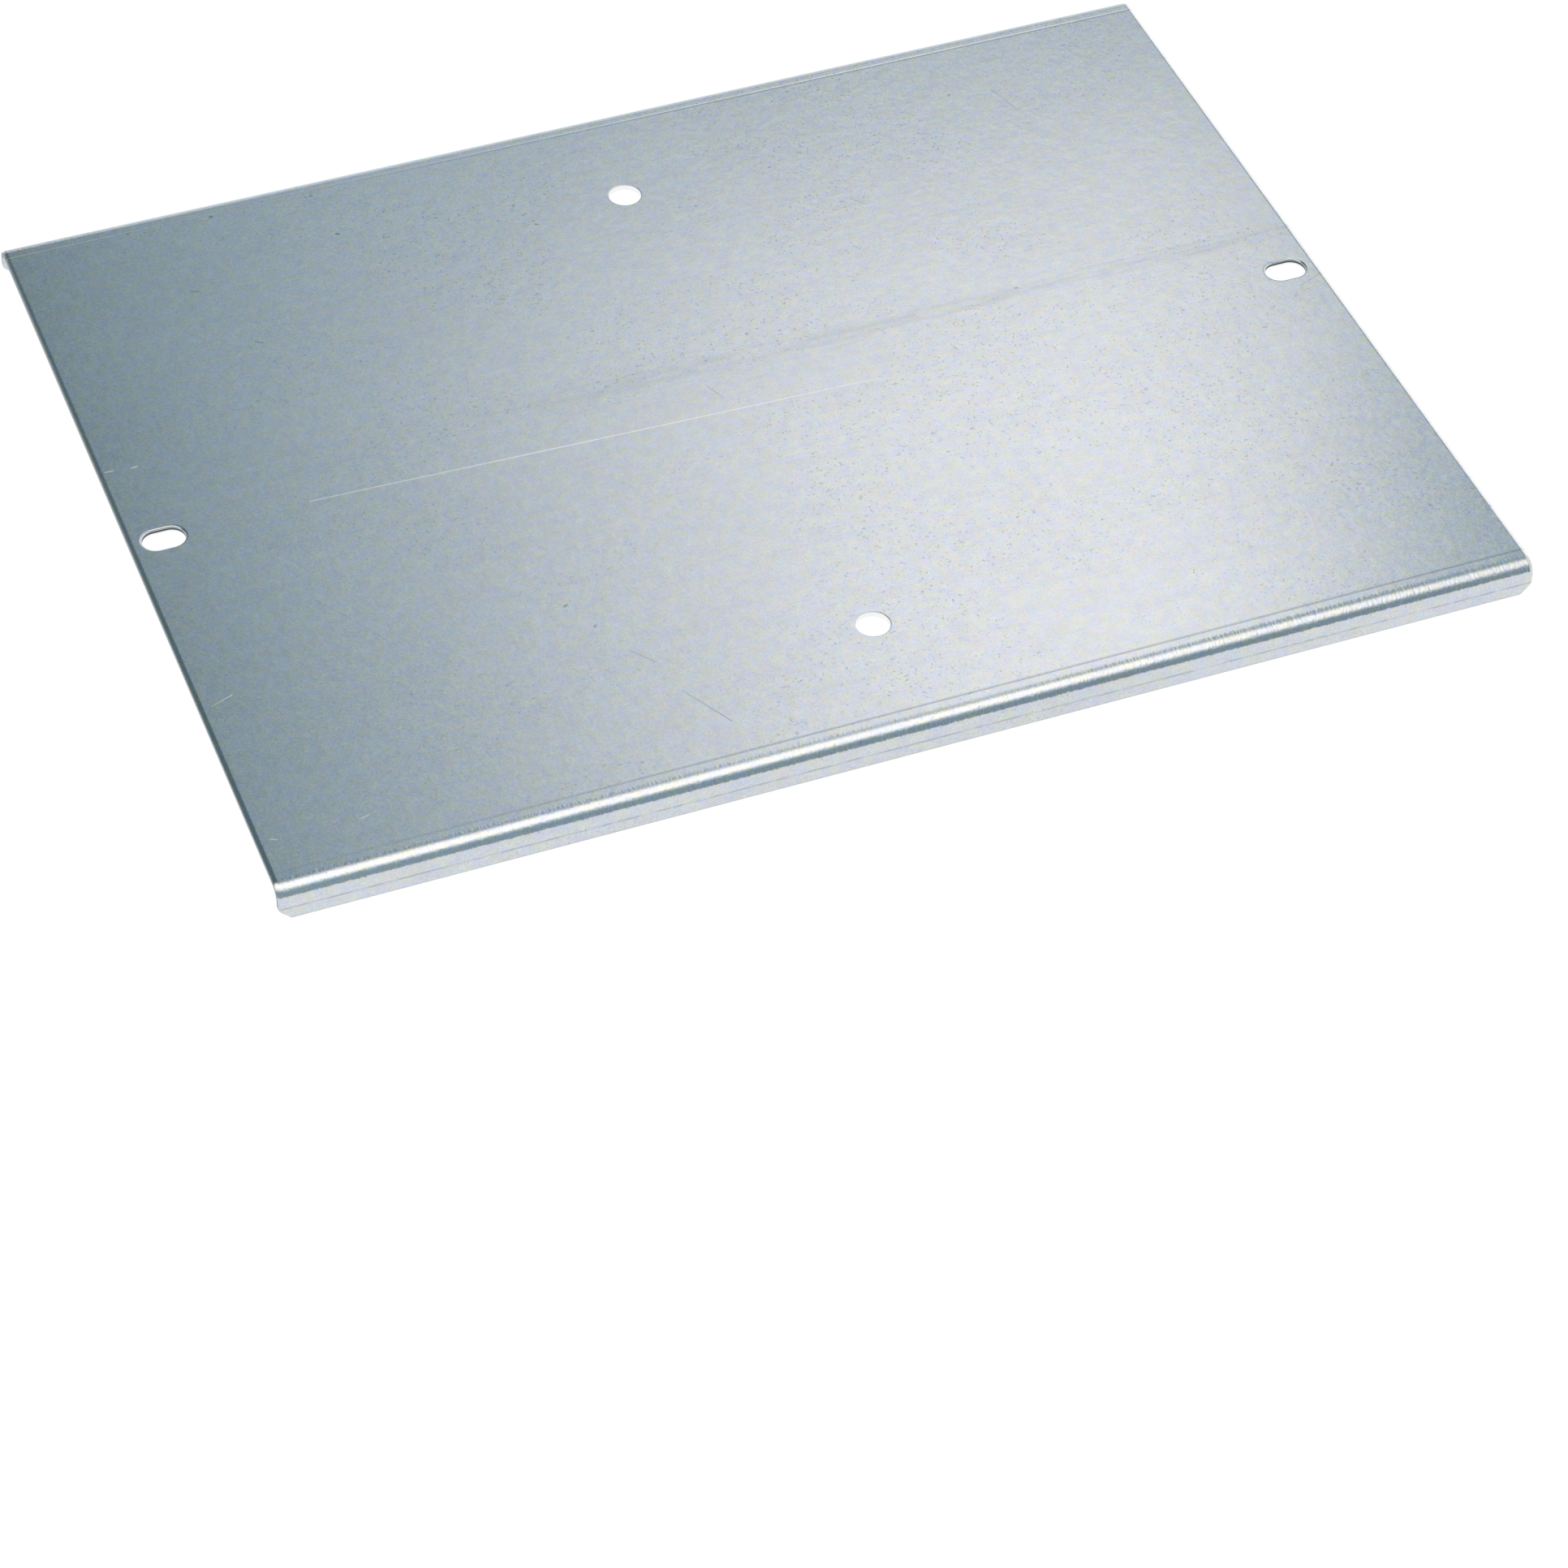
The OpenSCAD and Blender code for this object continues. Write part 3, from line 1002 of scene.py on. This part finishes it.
# %% The room and its softboxes, by direction
world = bpy.data.worlds.new("soft_studio")
bpy.context.scene.world = world
world.use_nodes = True
tree = world.node_tree
tree.nodes.clear()
ROOM = (0.340, 0.450, 0.500, 1)
ROOM_DEEP = (0.120, 0.180, 0.190, 1)
REAR_SOFTBOX = (1.010, 0.838, 0.762)
FRONT_SOFTBOX = (1.32, 1.11, 0.97)

direction = add_node(tree, "ShaderNodeSeparateXYZ",
                     {0: add_node(tree, "ShaderNodeTexCoord").outputs["Generated"]}).outputs
sideways = direction["X"]
lean = add_node(tree, "ShaderNodeMath", {0: direction["Y"], 1: direction["Z"]},
                operation="ARCTAN2").outputs[0]
lean = add_node(tree, "ShaderNodeMath", {0: lean}, operation="DEGREES").outputs[0]
print("The rear softbox is as bright as", REAR_SOFTBOX, "and the front one as", FRONT_SOFTBOX)

# %% [markdown]
# Each edge of a softbox is a soft ramp, given as where it starts and where it ends.
# The edges lie at a slant. Each slant turns about the direction that the middle of
# the panel mirrors, and says how far the edge moves back for each unit of the other
# number. One ramp may be the full level of the next one, so a softbox with four
# edges is a chain of four ramps, and a fifth one fades the rear softbox. Every ray
# that leaves the plate asks for this light, so a short chain keeps the render quick.

# %% The edges of the softboxes and of the darker parts of the room
MIDDLE_SIDEWAYS = 0.27
MIDDLE_LEAN = 47

REAR_LEFT, REAR_LEFT_SLANT = (0.145, 0.323), 0.00131
REAR_RIGHT, REAR_RIGHT_SLANT = (0.405, 0.385), -0.00175
REAR_TOP, REAR_TOP_SLANT = (-10, 20), 40.0
REAR_FOOT, REAR_FOOT_SLANT = (51.6, 48.9), 3.8
REAR_FADE, REAR_FADE_SLANT = (48.6, 59.8), -23.2
REAR_FADED = 0.73
FRONT_FOOT, FRONT_TOP, FRONT_SLANT = (-60, -25), (14.4, -14.2), 15.4
FRONT_LEFT, FRONT_RIGHT = (-1.10, -0.50), (0.60, 0.33)
DEEP_RIGHT, DEEP_LEAN = (0.146, 0.132), (0, 30)
DUSK_LEFT, DUSK_LEAN, DUSK_LEVEL = (0.20, 0.33), (-20, -50), 0.80
GLOW_BEHIND, GLOW_BEHIND_LEVEL = (53, 62), 0.44
GLOW_RIGHT, GLOW_RIGHT_LEVEL = (0.50, 0.60), 0.70


def soft_edge(passed, edges, slant=0.0, full=1.0, start=0.0):
    """Light that runs softly from a start to a full level between two edges."""
    if slant:
        if passed == sideways:
            crossing, middle = lean, MIDDLE_LEAN
        else:
            crossing, middle = sideways, MIDDLE_SIDEWAYS
        passed = add_node(tree, "ShaderNodeMath", {0: crossing, 1: slant, 2: passed},
                          operation="MULTIPLY_ADD").outputs[0]
        edges = [edge + slant * middle for edge in edges]
    return add_node(tree, "ShaderNodeMapRange",
                    {"Value": passed, "From Min": edges[0], "From Max": edges[1],
                     "To Min": start, "To Max": full},
                    interpolation_type="SMOOTHSTEP").outputs[0]

# %% The softboxes, the glow and the darker parts of the room
rear = soft_edge(lean, REAR_FADE, REAR_FADE_SLANT, full=REAR_FADED, start=1.0)
rear = soft_edge(lean, REAR_FOOT, REAR_FOOT_SLANT, full=rear)
rear = soft_edge(lean, REAR_TOP, REAR_TOP_SLANT, full=rear)
rear = soft_edge(sideways, REAR_RIGHT, REAR_RIGHT_SLANT, full=rear)
rear = soft_edge(sideways, REAR_LEFT, REAR_LEFT_SLANT, full=rear)

front = soft_edge(sideways, FRONT_RIGHT)
front = soft_edge(sideways, FRONT_LEFT, full=front)
front = soft_edge(lean, FRONT_TOP, FRONT_SLANT, full=front)
front = soft_edge(lean, FRONT_FOOT, FRONT_SLANT, full=front)

glow_behind = soft_edge(lean, GLOW_BEHIND, full=GLOW_BEHIND_LEVEL)
glow_right = soft_edge(sideways, GLOW_RIGHT, full=GLOW_RIGHT_LEVEL)

deep = soft_edge(lean, DEEP_LEAN)
deep = soft_edge(sideways, DEEP_RIGHT, full=deep)
dusk = soft_edge(sideways, DUSK_LEFT, full=DUSK_LEVEL, start=1.0)
dusk = soft_edge(lean, DUSK_LEAN, full=dusk, start=1.0)
print("The edges take", len(tree.nodes), "nodes")

# %% The room, the softboxes and the glow together
room = add_node(tree, "ShaderNodeMix", {0: deep, 6: ROOM, 7: ROOM_DEEP},
                data_type="RGBA").outputs[2]
light = (0, 0, 0)
for share, colour in [(dusk, room), (rear, REAR_SOFTBOX), (glow_behind, REAR_SOFTBOX),
                      (glow_right, REAR_SOFTBOX), (front, FRONT_SOFTBOX)]:
    light = add_node(tree, "ShaderNodeVectorMath", {0: share, 1: colour, 2: light},
                     operation="MULTIPLY_ADD").outputs[0]

rays = add_node(tree, "ShaderNodeLightPath").outputs
seen_light = add_node(tree, "ShaderNodeMix",
                      {0: rays["Is Camera Ray"], 6: light, 7: (1, 1, 1, 1)},
                      data_type="RGBA")
background = add_node(tree, "ShaderNodeBackground",
                      {"Color": seen_light.outputs[2], "Strength": 1.0})
add_node(tree, "ShaderNodeOutputWorld", {"Surface": background.outputs[0]})
print("The world has", len(tree.nodes), "nodes")

# %% [markdown]
# ## Camera
#
# The camera looks down at the plate from the front left with a long lens. Its
# place and its turn come from fitting the plate's corners and holes, so it is
# given as three directions: right, up and back.

# %% The camera and its long lens
right = Vector((0.932603, -0.360535, 0.016297))
up = Vector((0.245076, 0.665798, 0.704735))
back = Vector((-0.264932, -0.653244, 0.709284))
place = Vector((-314.94, -807.91, 752.35)) * MM

lens = bpy.data.cameras.new("long_lens")
lens.sensor_width = 36
lens.lens = 110.498
camera = bpy.data.objects.new("camera", lens)
turn = Matrix((right, up, back)).transposed().to_4x4()
camera.matrix_world = Matrix.Translation(place) @ turn
bpy.context.scene.collection.objects.link(camera)
bpy.context.scene.camera = camera
bpy.context.scene.view_settings.view_transform = "Standard"
print("The camera stands", round(place.length / MM), "mm from the plate's middle")
